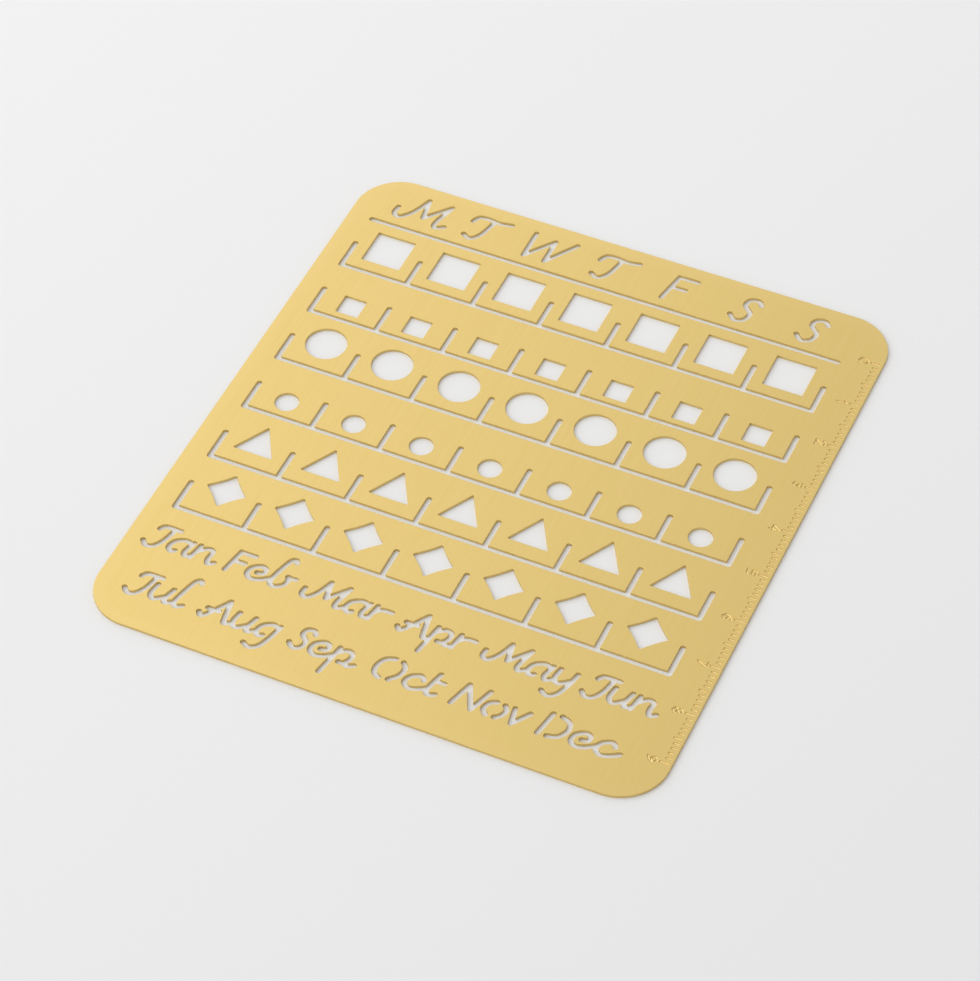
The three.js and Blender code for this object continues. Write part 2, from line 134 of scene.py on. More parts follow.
# Upright single-stroke letters in a joined hand, on a square grid: each has the advance to the next
# letter, then its strokes, which are straight between two points and a smooth curve through more. No
# letter or join closes a ring, so no loose centre can fall out.
CAPITAL_UNITS = 9
LETTERS = {
    "A": [
        11.8,
        [(0, 1.2), (1.4, 0), (3, 1.8), (6.4, 9)],
        [(6.4, 9), (9, 1.6), (10, 0), (11.8, 1)],
        [(1.6, 3.8), (5.6, 3.8)],
    ],
    "D": [10.1, [(0, 0), (0, 9)], [(3.2, 9), (6.4, 7.8), (7.8, 4.6), (6.4, 1.2), (3.2, 0)]],
    "F": [6.6, [(0, 0), (0, 9)], [(0, 9), (5.4, 9)], [(0, 4.8), (4.2, 4.8)]],
    "J": [
        8.6,
        [(1.6, 7.2), (2.6, 8.7), (5, 9), (8.4, 8.9)],
        [(6.4, 9), (6, 3), (4.4, -0.4), (2, -1), (0, 0.6)],
    ],
    "M": [
        15.6,
        [(0, 3.6), (0.4, 1), (2.6, 0.2), (4.8, 3.4), (6, 9)],
        [(6, 9), (8.4, 2.2)],
        [(8.4, 2.2), (13, 9)],
        [(13, 9), (12.4, 2.2), (13.4, 0), (15.6, 1.2)],
    ],
    "N": [10, [(0, 0), (1, 9)], [(1, 9), (7, 0)], [(7, 0), (8.4, 9)]],
    "O": [
        11.1,
        [(3.8, 9), (1, 7.6), (0, 4.4), (1, 1.4), (3.4, 0)],
        [(6.8, 8.6), (8.6, 6.6), (8.6, 3.2), (6.6, 0.4)],
    ],
    "S": [7, [(5.6, 7.6), (4.2, 9), (2, 8.4), (1.8, 6.2), (4.5, 3.8), (4.4, 1), (2.2, 0), (0, 1.6)]],
    "T": [
        10.2,
        [(0, 6.6), (0.8, 8.6), (3.4, 9), (7, 8.6), (10.2, 9.2)],
        [(5.4, 8.8), (5, 2.6), (3.2, 0.1), (0.8, 1)],
    ],
    "W": [12.4, [(0, 9), (1.8, 0)], [(1.8, 0), (6.4, 8)], [(6.4, 8), (8, 0)], [(8, 0), (12.4, 9)]],
    "a": [
        9.4,
        [(6.4, 5.4), (3.8, 6), (1, 4.4), (0.4, 1.6), (2, 0), (3.4, 0.6)],
        [(6.8, 6), (6.3, 1.8), (7.4, 0), (9.4, 1.2)],
    ],
    "b": [
        7.6,
        [(3.4, 12), (2.2, 13), (0.9, 11), (0.4, 2.4), (2.4, 0), (5, 1.2), (5.6, 3.6), (4.6, 5.4)],
        [(4.8, 5.2), (7.6, 5.4)],
    ],
    "c": [8.4, [(5.6, 4.6), (3.8, 6), (1, 4.6), (0.4, 1.8), (2.8, 0), (5.6, 0.6), (8.4, 2.4)]],
    "e": [
        8.6,
        [(3.4, 3), (5.4, 3.6), (4.9, 5.6), (2.8, 6), (0.5, 4.2), (0.6, 1.5), (3, 0), (6, 0.8), (8.6, 2.8)],
    ],
    "g": [
        6.4,
        [(6, 5.4), (3.6, 6), (1, 4.4), (0.4, 1.6), (2, 0), (3.4, 0.6)],
        [(6.4, 6), (6, 0), (5, -4), (2.6, -5.6), (0, -4.6)],
    ],
    "l": [4, [(3.4, 12), (2.2, 13), (0.9, 11), (0.4, 2.4), (1.8, 0), (4, 1)]],
    "n": [8.4, [(0, 6), (0, 0)], [(0, 2.8), (2.6, 5.6), (5, 5.3), (5.4, 2), (6.6, 0), (8.4, 1)]],
    "o": [8.9, [(2.6, 6), (0.6, 4.8), (0.2, 2), (2.2, 0)], [(5.6, 5.8), (7, 4), (6.6, 1.4), (5.2, 0.1)]],
    "p": [
        8.2,
        [(0, 6), (0, -5.6)],
        [(0, 3.6), (2.6, 5.8), (5, 5.2), (5.5, 2.8), (4.4, 0.7), (2.9, 0.5)],
        [(4.6, 0.9), (6.2, 0), (8.2, 1)],
    ],
    "r": [5.6, [(0, 6), (0, 0)], [(0, 3), (2, 5.1), (5.6, 5.3)]],
    "t": [3.6, [(0.4, 9), (0, 2), (1.4, 0), (3.6, 0.8)], [(0.2, 6), (3.6, 6)]],
    "u": [8.6, [(0, 6), (0.2, 1.8), (2.4, 0), (5.4, 2.4)], [(6, 6), (5.6, 1.8), (6.6, 0), (8.6, 1.2)]],
    "v": [5.4, [(0, 6), (2.2, 0)], [(2.2, 0), (5.4, 6)]],
    "y": [
        6,
        [(0, 6), (0.2, 2), (2.4, 0.4), (5.6, 2.8)],
        [(6, 6), (5.6, 0), (4.6, -4), (2.2, -5.6), (-0.4, -4.4)],
    ],
}

# Numerals of the scale, in the same form
NUMERAL_UNITS = 6
NUMERALS = {
    "0": [6, [(2, 6), (0.2, 4.6), (0.2, 1.4), (2, 0)], [(2, 0), (3.8, 1.4), (3.8, 4.6), (2, 6)]],
    "1": [6, [(2, 0), (2, 6)], [(0.6, 4.6), (2, 6)]],
    "2": [6, [(0.2, 4.6), (1.8, 6), (3.6, 4.4), (0.2, 0)], [(0.2, 0), (4, 0)]],
    "3": [6, [(0.4, 5.4), (2.4, 6), (3.4, 4.4), (1.6, 3.2)], [(1.6, 3.2), (3.8, 2), (2.6, 0.2), (0.2, 0.6)]],
    "4": [6, [(2.8, 6), (0.2, 1.8)], [(0.2, 1.8), (4, 1.8)], [(3.2, 3.4), (3.2, 0)]],
    "5": [6, [(3.6, 6), (0.6, 6)], [(0.6, 6), (0.4, 3.4)], [(0.4, 3.4), (3, 3.6), (3.4, 0.8), (0.2, 0.4)]],
    "6": [6, [(3.2, 5.8), (1, 4.4), (0.2, 1.8), (1.6, 0)], [(1.6, 0), (3.6, 1.2), (2.6, 3.4), (0.4, 2.6)]],
    "7": [6, [(0.2, 6), (3.8, 6)], [(3.8, 6), (1.2, 0)]],
    "8": [
        6,
        [(2, 3.2), (0.5, 4.6), (2, 6)],
        [(2, 6), (3.5, 4.6), (2, 3.2)],
        [(2, 3.2), (0.2, 1.6), (2, 0)],
        [(2, 0), (3.8, 1.6), (2, 3.2)],
    ],
    "9": [6, [(3.6, 3.4), (1.4, 2.6), (0.4, 4.8), (2.4, 6)], [(2.4, 6), (3.8, 4.2), (3, 1.6), (0.8, 0.2)]],
}

# Places worked out from the sizes above
grid_left = sheet_left + GRID_LEFT_MARGIN
grid_right = sheet_right - GRID_RIGHT_MARGIN
grid_top = sheet_top - GRID_TOP_MARGIN
grid_bottom = sheet_bottom + GRID_BOTTOM_MARGIN
grid_middle = (grid_left + grid_right) / 2
column_pitch = (grid_right - grid_left) / COLUMNS


def linear(hex_colour):
    """A colour written as sRGB hex, as the linear values that shaders take."""
    channels = [int(hex_colour[i:i + 2], 16) / 255 for i in (1, 3, 5)]
    return (*[c / 12.92 if c <= 0.04045 else ((c + 0.055) / 1.055) ** 2.4 for c in channels], 1.0)


def add_node(tree, kind, inputs=None, **settings):
    """Adds a node. Each input is given a constant, or the output socket of another node."""
    node = tree.nodes.new(kind)
    for name, value in settings.items():
        setattr(node, name, value)
    for key, value in (inputs or {}).items():
        if isinstance(value, bpy.types.NodeSocket):
            tree.links.new(value, node.inputs[key])
        else:
            node.inputs[key].default_value = value
    return node


# Outlines, as lists of flat points in millimetres


def arc(centre, radius, start, turn, steps):
    """Points along an arc from a start angle, both ends included."""
    angles = [start + turn * k / steps for k in range(steps + 1)]
    return [Vector((centre.x + radius * math.cos(a), centre.y + radius * math.sin(a))) for a in angles]


def eased(corners, radius, steps):
    """A polygon with each convex corner rounded. Its corners run anticlockwise."""
    outline = []
    for i, corner in enumerate(corners):
        back = (corners[i - 1] - corner).normalized()
        ahead = (corners[(i + 1) % len(corners)] - corner).normalized()
        half = back.angle(ahead) / 2
        centre = corner + (back + ahead).normalized() * radius / math.sin(half)
        first = corner + back * radius / math.tan(half) - centre
        outline += arc(centre, radius, math.atan2(first.y, first.x), math.pi - 2 * half, steps)
    return outline


def rectangle(left, bottom, right, top, radius, steps):
    corners = [(left, bottom), (right, bottom), (right, top), (left, top)]
    return eased([Vector(c) for c in corners], radius, steps)


def square(size):
    h = size / 2
    return rectangle(-h, -h, h, h, CUT_CORNER_RADIUS, CUT_CORNER_STEPS)


def circle(size):
    return arc(Vector((0, 0)), size / 2, 0, math.tau, CIRCLE_STEPS)[:-1]


def triangle(size):
    """An equal-sided triangle, point up, with half its height above the middle."""
    half_height = size * math.sqrt(3) / 4
    corners = [(-size / 2, -half_height), (size / 2, -half_height), (0, half_height)]
    return eased([Vector(c) for c in corners], CUT_CORNER_RADIUS, CUT_CORNER_STEPS)


def diamond(size):
    """A diamond with blunt tips, whose four sides curve in a little."""
    centre = Vector((size / 2 - math.sqrt(2) * DIAMOND_TIP_RADIUS, 0))
    tip = arc(centre, DIAMOND_TIP_RADIUS, -math.pi / 4, math.pi / 2, CUT_CORNER_STEPS)
    side_end = Matrix.Rotation(math.pi / 2, 2) @ tip[0]
    inwards = Vector((-1, -1)).normalized()
    side = []
    for k in range(1, DIAMOND_SIDE_STEPS):
        t = k / DIAMOND_SIDE_STEPS
        side.append(tip[-1].lerp(side_end, t) + inwards * DIAMOND_SIDE_SAG * 4 * t * (1 - t))
    turns = [Matrix.Rotation(quarter * math.pi / 2, 2) for quarter in range(4)]
    return [turn @ p for turn in turns for p in tip + side]


def slot(path, width):
    """A round-ended slot along a path. Points that fold back inside a tight bend are left out."""
    radius = width / 2
    steps = [(b - a).normalized() for a, b in zip(path, path[1:])]
    tangents = [a + b for a, b in zip([steps[0], *steps], [*steps, steps[-1]])]
    headings = [math.atan2(t.y, t.x) for t in tangents]

    def side(turn):
        offsets = [Vector((math.cos(h + turn), math.sin(h + turn))) * radius for h in headings]
        points = [p + offset for p, offset in zip(path, offsets)]
        return [q for q in points if min((q - p).length for p in path) > radius * LEAST_SIDE_SHARE]

    def end(centre, heading):
        return arc(centre, radius, heading + math.pi / 2, -math.pi, SLOT_END_STEPS)[1:-1]

    clockwise = [
        *side(math.pi / 2),
        *end(path[-1], headings[-1]),
        *reversed(side(-math.pi / 2)),
        *end(path[0], headings[0] + math.pi),
    ]
    return clockwise[::-1]


def smooth_path(points):
    """A smooth curve through points, straight between two, in steps that shorten towards its ends."""
    padded = [points[0], *points, points[-1]]
    path = []
    for before, start, end, after in zip(padded, padded[1:], padded[2:], padded[3:]):
        leave, arrive = (end - before) / 2, (after - start) / 2
        for k in range(CURVE_SPAN_STEPS):
            t = k / CURVE_SPAN_STEPS
            cubic = (2 * (start - end) + leave + arrive) * t ** 3
            square_term = (3 * (end - start) - 2 * leave - arrive) * t ** 2
            path.append(cubic + square_term + leave * t + start)
    return [*path, points[-1]]


def line_length(strokes):
    across = [p.x for stroke in strokes for p in stroke]
    return max(across) - min(across)


def set_line(text, alphabet, unit, word_gap=0.0, slant=0.0):
    """Strokes of characters along a base line at zero, slanted, with the line's middle at zero."""
    strokes, pen = [], 0.0
    for character in text:
        if character == " ":
            pen += word_gap
            continue
        advance, *glyph = alphabet[character]
        strokes += [[Vector((pen + (x + slant * y) * unit, y * unit)) for x, y in s] for s in glyph]
        pen += advance * unit
    middle = min(p.x for stroke in strokes for p in stroke) + line_length(strokes) / 2
    return [[p - Vector((middle, 0)) for p in stroke] for stroke in strokes]


# The plan of the cuts


def grid_of_cuts_tree():
    """A node tree that repeats one outline in rows and columns."""
    tree = bpy.data.node_groups.new("grid_of_cuts", "GeometryNodeTree")
    sockets = [
        ("Outline", "NodeSocketGeometry"),
        ("Columns", "NodeSocketInt"),
        ("Column Pitch", "NodeSocketFloat"),
        ("Rows", "NodeSocketInt"),
        ("Row Pitch", "NodeSocketFloat"),
        ("Finish", "NodeSocketMaterial"),
    ]
    for name, kind in sockets:
        tree.interface.new_socket(name, in_out="INPUT", socket_type=kind)
    tree.interface.new_socket("Cuts", in_out="OUTPUT", socket_type="NodeSocketGeometry")
    given = add_node(tree, "NodeGroupInput").outputs
    across = add_node(tree, "ShaderNodeCombineXYZ", {"X": given["Column Pitch"]})
    columns = add_node(
        tree, "GeometryNodeMeshLine", {"Count": given["Columns"], "Offset": across.outputs[0]}, mode="OFFSET"
    )
    row = add_node(
        tree, "GeometryNodeInstanceOnPoints", {"Points": columns.outputs[0], "Instance": given["Outline"]}
    )
    down = add_node(
        tree, "ShaderNodeVectorMath", {0: (0.0, -1.0, 0.0), "Scale": given["Row Pitch"]}, operation="SCALE"
    )
    rows = add_node(
        tree, "GeometryNodeMeshLine", {"Count": given["Rows"], "Offset": down.outputs[0]}, mode="OFFSET"
    )
    grid = add_node(
        tree, "GeometryNodeInstanceOnPoints", {"Points": rows.outputs[0], "Instance": row.outputs[0]}
    )
    real = add_node(tree, "GeometryNodeRealizeInstances", {"Geometry": grid.outputs[0]})
    finished = add_node(
        tree, "GeometryNodeSetMaterial", {"Geometry": real.outputs[0], "Material": given["Finish"]}
    )
    add_node(tree, "NodeGroupOutput", {"Cuts": finished.outputs[0]})
    return tree


def repeat(tree, outline, finish, place, columns=1, column_pitch=0.0, rows=1, row_pitch=0.0):
    """The outlines of a cut repeated by the node tree, the first of them at a place."""
    flat = bpy.data.meshes.new("cut_outline")
    flat.from_pydata([(p.x + place[0], p.y + place[1], 0) for p in outline], [], [range(len(outline))])
    plan = bpy.data.objects.new("cut_outline", flat)
    bpy.context.scene.collection.objects.link(plan)
    layout = plan.modifiers.new("grid_of_cuts", "NODES")
    layout.node_group = tree
    given = {
        "Columns": columns,
        "Column Pitch": column_pitch,
        "Rows": rows,
        "Row Pitch": row_pitch,
        "Finish": finish,
    }
    for item in tree.interface.items_tree:
        if item.name in given:
            layout[item.identifier] = given[item.name]
    drawn = bpy.data.meshes.new_from_object(plan.evaluated_get(bpy.context.evaluated_depsgraph_get()))
    outlines = [[drawn.vertices[i].co.xy for i in face.vertices] for face in drawn.polygons]
    bpy.data.objects.remove(plan)
    bpy.data.meshes.remove(flat)
    bpy.data.meshes.remove(drawn)
    return outlines


def grid_cuts(tree, finish):
    """The rule under the initials, a base line with upright stubs for each row, and the marker shapes."""
    kinds = [
        (square, LARGE_SHAPE, None),
        (square, SMALL_SHAPE, SMALL_SHAPE_LIFT),
        (circle, LARGE_SHAPE, None),
        (circle, SMALL_SHAPE, SMALL_SHAPE_LIFT),
        (triangle, LARGE_SHAPE, POINTED_SHAPE_LIFT),
        (diamond, LARGE_SHAPE, POINTED_SHAPE_LIFT),
    ]
    row_pitch = (grid_top - grid_bottom) / len(kinds)
    rule = slot([Vector((0, 0)), Vector((grid_right - grid_left, 0))], SLOT_WIDTH)
    stub = slot([Vector((0, 0)), Vector((0, row_pitch / 2 - SLOT_WIDTH / 2))], SLOT_WIDTH)
    cuts = repeat(tree, rule, finish, (grid_left, grid_top), rows=len(kinds) + 1, row_pitch=row_pitch)
    first_stub = (grid_left, grid_top - row_pitch)
    cuts += repeat(tree, stub, finish, first_stub, COLUMNS + 1, column_pitch, len(kinds), row_pitch)
    for row, (shape, size, lift) in enumerate(kinds, 1):
        foot = (row_pitch - size) / 2 if lift is None else lift
        place = (grid_left + column_pitch / 2, grid_top - row * row_pitch + foot + size / 2)
        cuts += repeat(tree, shape(size), finish, place, COLUMNS, column_pitch)
    return cuts


def lettering_cuts():
    """The weekday initials over the columns, and the month names in two lines under the grid."""
    placed = []
    pitch = column_pitch - INITIAL_TUCK
    for i, letter in enumerate(INITIALS):
        x = grid_middle + INITIAL_SHIFT + (i - (len(INITIALS) - 1) / 2) * pitch
        strokes = set_line(letter, LETTERS, INITIAL_HEIGHT / CAPITAL_UNITS, slant=LETTER_SLANT)
        placed.append((strokes, Vector((x, grid_top + INITIAL_LIFT))))
    text, gap = MONTH_LINES[0]
    letter_room = grid_right - grid_left + 2 * MONTH_OVERHANG - LETTER_STROKE - text.count(" ") * gap
    unit = letter_room / line_length(set_line(text, LETTERS, 1, slant=LETTER_SLANT))
    first_base = grid_bottom - MONTH_DROP
    leading = (first_base - sheet_bottom - MONTH_FOOT) / (len(MONTH_LINES) - 1)
    for i, (text, gap) in enumerate(MONTH_LINES):
        strokes = set_line(text, LETTERS, unit, gap, LETTER_SLANT)
        placed.append((strokes, Vector((grid_middle, first_base - i * leading))))
    return [
        slot([place + p for p in smooth_path(stroke)], LETTER_STROKE)
        for strokes, place in placed
        for stroke in strokes
    ]


def scale_etches(tree, finish):
    """The scale's marks, a longer one over each fifth and tenth, and its numerals on their side."""
    marks = NUMBERS * MARKS_PER_NUMBER
    scale_top = (sheet_top + sheet_bottom + marks) / 2
    mark_end = sheet_right - MARK_EDGE_GAP
    etches = []
    for every, length in MARK_LENGTHS.items():
        mark = rectangle(-length, -MARK_WIDTH / 2, 0, MARK_WIDTH / 2, MARK_CORNER_RADIUS, CUT_CORNER_STEPS)
        first = (mark_end, scale_top)
        etches += repeat(tree, mark, finish, first, rows=marks // every + 1, row_pitch=every)
    foot = sheet_right - NUMERAL_EDGE_GAP - NUMERAL_HEIGHT
    for number in range(NUMBERS + 1):
        level = scale_top - number * MARKS_PER_NUMBER
        for stroke in set_line(str(number), NUMERALS, NUMERAL_HEIGHT / NUMERAL_UNITS):
            lying = [Vector((foot + p.y, level - p.x)) for p in smooth_path(stroke)]
            etches.append(slot(lying, NUMERAL_STROKE))
    return etches


# The sheet, raised from the plan


def triangulate(outlines):
    """Triangles over all the outlines, each with the set of outlines that it lies in."""
    points = [p for outline in outlines for p in outline]
    faces, first = [], 0
    for outline in outlines:
        faces.append(list(range(first, first + len(outline))))
        first += len(outline)
    flat, _, triangles, sources, _, owners = delaunay_2d_cdt(points, [], faces, 0, PLAN_TOLERANCE, True)
    return flat, triangles, sources, [set(owner) for owner in owners]


def edge_loops(cuts, etches):
    """The closed edges of the sheet's uncut upper face, with brass on their left: those of the
    through cuts, the sheet's own edge among them, and those of the half-etched marks."""
    blank = rectangle(sheet_left, sheet_bottom, sheet_right, sheet_top, CORNER_RADIUS, CORNER_STEPS)
    flat, triangles, _, owners = triangulate([blank, *cuts, *etches])
    cut_ids = set(range(1, 1 + len(cuts)))
    etch_ids = set(range(1 + len(cuts), 1 + len(cuts) + len(etches)))

    def state(owner):
        if 0 not in owner or owner & cut_ids:
            return "cut"
        return "etched" if owner & etch_ids else "whole"

    sides = {}
    for corners, owner in zip(triangles, owners):
        for a, b in zip(corners, [*corners[1:], corners[0]]):
            sides[a, b] = state(owner)
    following = {"cut": {}, "etched": {}}
    for (a, b), own in sides.items():
        other = sides.get((b, a), "cut")
        if own == "whole" and other != "whole":
            following[other][a] = b
    insets = {"cut": [WALL_RIDGE + RIM_RADIUS], "etched": [MARK_RIM_RADIUS, -ETCH_FLOOR_FILLET]}
    return [
        [tidy([flat[i] for i in chain], insets[kind]) for chain in chains(following[kind])]
        for kind in ("cut", "etched")
    ]


def chains(following):
    """Closed chains of a table that names the point after each point."""
    loops = []
    while following:
        start, point = following.popitem()
        loop = [start]
        while point != start:
            loop.append(point)
            point = following.pop(point)
        loops.append(loop)
    return loops


def tidy(points, insets):
    """A loop without the very short edges that crossing cuts leave, and without the points at which a
    ring at one of the insets would fold back."""
    loop = [p for p, before in zip(points, [points[-1], *points]) if (p - before).length > SHORTEST_EDGE]
    folded = True
    while folded:
        folded = set()
        ways = mitres(loop)
        for inset in insets:
            ring = [p + way * inset for p, way in zip(loop, ways)]
            for i in range(len(loop)):
                edge = loop[i] - loop[i - 1]
                if edge.dot(ring[i] - ring[i - 1]) < LEAST_RING_SHARE * edge.length_squared:
                    blunter = i if ways[i].length < ways[i - 1].length else (i - 1) % len(loop)
                    folded.add(blunter)
        loop = [p for i, p in enumerate(loop) if i not in folded]
    return loop


def mitres(loop):
    """For each point of a loop, the way into the brass that keeps an even distance from both edges."""
    edges = [(b - a).normalized() for a, b in zip(loop, [*loop[1:], loop[0]])]
    normals = [Vector((-e.y, e.x)) for e in edges]
    found = []
    for before, after in zip([normals[-1], *normals], normals):
        mitre = (before + after) / max(1 + before.dot(after), LEAST_MITRE_SPREAD)
        found.append(mitre * min(1, LONGEST_MITRE / mitre.length))
    return found


class Shell:
    """Points and faces of the sheet as they are made, with the flat way out of the brass at each point
    and the finish and corner normals of each face."""

    def __init__(self):
        self.points, self.ways_out = [], []
        self.faces, self.finishes, self.normals = [], [], []

    def wall(self, loop, profile, finishes):
        """Bands that follow a loop down a profile, whose levels give the inset into the brass, the
        height and the lean of the surface. Returns the points of the first and the last level."""
        ways = mitres(loop)
        rings = []
        for inset, height, _ in profile:
            first = len(self.points)
            self.points += [(*(p + way * inset), height) for p, way in zip(loop, ways)]
            self.ways_out += [-way.normalized() for way in ways]
            rings.append(range(first, first + len(loop)))
        sides = wall_sides(loop, ways)
        leans = [lean for _, _, lean in profile]
        for upper, lower, lean, next_lean, finish in zip(rings, rings[1:], leans, leans[1:], finishes):
            for i, (before, here) in enumerate(sides):
                self.faces.append((upper[i - 1], lower[i - 1], lower[i], upper[i]))
                self.finishes.append(finish)
                corners = [(before, lean), (before, next_lean), (here, next_lean), (here, lean)]
                self.normals += [tilted(side, angle) for side, angle in corners]
        return rings[0], rings[-1]

    def cap(self, rings, finish, lean):
        """Fills between rings at one height, facing up, or down if the lean of the surface at the rings
        is less than nothing."""
        way = 1 if lean > 0 else -1
        rings = [ring if is_anticlockwise([self.flat(i) for i in ring]) else ring[::-1] for ring in rings]
        ids = [i for ring in rings for i in ring]
        _, triangles, sources, owners = triangulate([[self.flat(i) for i in ring] for ring in rings])
        for corners, owner in zip(triangles, owners):
            if len(owner) % 2:
                face = [ids[sources[c][0]] for c in corners[::way]]
                self.faces.append(face)
                self.finishes.append(finish)
                self.normals += [tilted(self.ways_out[i], lean) for i in face]

    def flat(self, i):
        return Vector(self.points[i][:2])


def wall_sides(loop, ways):
    """The flat ways out of the brass at both ends of each edge, smooth round all but sharp corners."""
    sides = []
    for i in range(len(loop)):
        along = loop[i] - loop[i - 1]
        out = Vector((along.y, -along.x)).normalized()
        ends = (ways[i - 1], ways[i])
        sides.append([out if way.length > SHARP_MITRE else -way.normalized() for way in ends])
    return sides


def tilted(side, lean):
    """A surface's normal: to a side, leaning up by an angle."""
    return (*(side * math.cos(lean)), math.sin(lean))


def is_anticlockwise(outline):
    return sum(a.cross(b) for a, b in zip(outline, [*outline[1:], outline[0]])) > 0


def rim_profile(radius, height, way):
    """Levels round a rim, from the flat face to the wall. Way is 1 at the upper face, -1 at the lower."""
    turns = [math.pi / 2 * k / RIM_STEPS for k in range(RIM_STEPS + 1)]
    return [
        (radius * (1 - math.sin(t)), height - way * radius * (1 - math.cos(t)), way * (math.pi / 2 - t))
        for t in turns
    ]


def fillet_profile(radius, floor, lean):
    """Levels round the foot of a recess, from its wall to the lean at which its floor begins."""
    turns = [math.pi / 2 * k / FILLET_STEPS for k in range(FILLET_STEPS + 1)]
    return [(-radius * (1 - math.cos(t)), floor + radius * (1 - math.sin(t)), min(t, lean)) for t in turns]


# The finishes of the sheet by number, and the lean of a face that looks straight up
FACE, RIM, WALL, MARK = range(4)
STRAIGHT_UP = math.pi / 2


def raise_sheet(cut_loops, etch_loops):
    """The closed skin of the sheet: flat faces, rounded rims, etched walls and the scale's recesses."""
    shell = Shell()
    rims = [*rim_profile(RIM_RADIUS, upper_face, 1), *rim_profile(RIM_RADIUS, underside, -1)[::-1]]
    profile = [(inset + WALL_RIDGE, height, lean) for inset, height, lean in rims]
    profile.insert(len(rims) // 2, (0, (upper_face + underside) / 2, 0))
    finishes = [RIM] * RIM_STEPS + [WALL] * 2 + [RIM] * RIM_STEPS
    edges = [shell.wall(loop, profile, finishes) for loop in cut_loops]
    fillet = fillet_profile(ETCH_FLOOR_FILLET, upper_face - ETCH_DEPTH, ETCH_FLOOR_LEAN)
    recess = [*rim_profile(MARK_RIM_RADIUS, upper_face, 1), *fillet]
    finishes = [RIM] * RIM_STEPS + [MARK] * (FILLET_STEPS + 1)
    marks = [shell.wall(loop, recess, finishes) for loop in etch_loops]
    shell.cap([upper for upper, _ in edges + marks], FACE, STRAIGHT_UP)
    shell.cap([floor for _, floor in marks], MARK, ETCH_FLOOR_LEAN)
    shell.cap([lower for _, lower in edges], FACE, -STRAIGHT_UP)
    return shell


def stencil_sheet(finishes):
    """The whole sheet as one piece, with its finishes in the order of their numbers."""
    tree = grid_of_cuts_tree()
    cuts = grid_cuts(tree, finishes[WALL]) + lettering_cuts()
    shell = raise_sheet(*edge_loops(cuts, scale_etches(tree, finishes[MARK])))
    mesh = bpy.data.meshes.new("etched_stencil_sheet")
    mesh.from_pydata([Vector(p) * MM for p in shell.points], [], shell.faces, shade_flat=False)
    for finish in finishes:
        mesh.materials.append(finish)
    mesh.polygons.foreach_set("material_index", shell.finishes)
    mesh.normals_split_custom_set(shell.normals)
    sheet = bpy.data.objects.new("etched_stencil_sheet", mesh)
    bpy.context.scene.collection.objects.link(sheet)
    return sheet


# Finishes

# A noise pattern lies mostly between these two values, which a finish spreads from none to all of it
PATTERN_LOW = 0.3
PATTERN_HIGH = 0.7
PATTERN_DETAIL = 2.0


def brass(name, tones, roughness, grain, relief, rubbed=0.0):
    """A brass finish whose tone, roughness and relief follow one fine pattern. The grain is the size of
    the pattern along each axis and the relief its height, and towards the sheet's outer edge the pattern
    wears off over the rubbed width, all in millimetres."""
    material = bpy.data.materials.new(name)
    material.use_nodes = True
    tree = material.node_tree
    tree.nodes.clear()
    place = add_node(tree, "ShaderNodeTexCoord").outputs["Object"]
    spread = add_node(
        tree, "ShaderNodeMapping", {"Vector": place, "Scale": [1 / (size * MM) for size in grain]}
    )
    pattern = add_node(
        tree,
        "ShaderNodeTexNoise",
        {"Vector": spread.outputs[0], "Scale": 1.0, "Detail": PATTERN_DETAIL},
    )
    strength = pattern.outputs[0]
    if rubbed:
        worn = edge_wear(tree, place, rubbed)
        strength = add_node(tree, "ShaderNodeMath", {0: strength, 1: worn}, operation="ADD").outputs[0]
    share = add_node(
        tree, "ShaderNodeMapRange", {0: strength, "From Min": PATTERN_LOW, "From Max": PATTERN_HIGH}
    ).outputs[0]
    tone = add_node(
        tree,
        "ShaderNodeMix",
        {"Factor": share, "A": linear(tones[0]), "B": linear(tones[1])},
        data_type="RGBA",
    )
    polish = add_node(
        tree, "ShaderNodeMapRange", {0: share, "To Min": roughness[0], "To Max": roughness[1]}
    )
    raised = add_node(tree, "ShaderNodeBump", {"Height": share, "Distance": relief * MM})
    shader = add_node(
        tree,
        "ShaderNodeBsdfPrincipled",
        {
            "Base Color": tone.outputs["Result"],
            "Metallic": 1.0,
            "Roughness": polish.outputs[0],
            "Normal": raised.outputs[0],
        },
    )
    add_node(tree, "ShaderNodeOutputMaterial", {"Surface": shader.outputs[0]})
    return material


def edge_wear(tree, place, width):
    """What lifts a pattern from its low value to its high one over a width in millimetres, towards the
    sheet's outline."""
    # The last value is far over the sheet, so that only the flat distance counts
    core = ((sheet_right - CORNER_RADIUS) * MM, (sheet_top - CORNER_RADIUS) * MM, 1.0)
    way_out = add_node(tree, "ShaderNodeVectorMath", {0: place}, operation="ABSOLUTE")
    past_core = add_node(tree, "ShaderNodeVectorMath", {0: way_out.outputs[0], 1: core}, operation="SUBTRACT")
    beyond = add_node(tree, "ShaderNodeVectorMath", {0: past_core.outputs[0]}, operation="MAXIMUM")
    reach = add_node(tree, "ShaderNodeVectorMath", {0: beyond.outputs[0]}, operation="LENGTH")
    return add_node(
        tree,
        "ShaderNodeMapRange",
        {
            0: reach.outputs["Value"],
            "From Min": (CORNER_RADIUS - width) * MM,
            "From Max": CORNER_RADIUS * MM,
            "To Max": PATTERN_HIGH - PATTERN_LOW,
        },
    ).outputs[0]


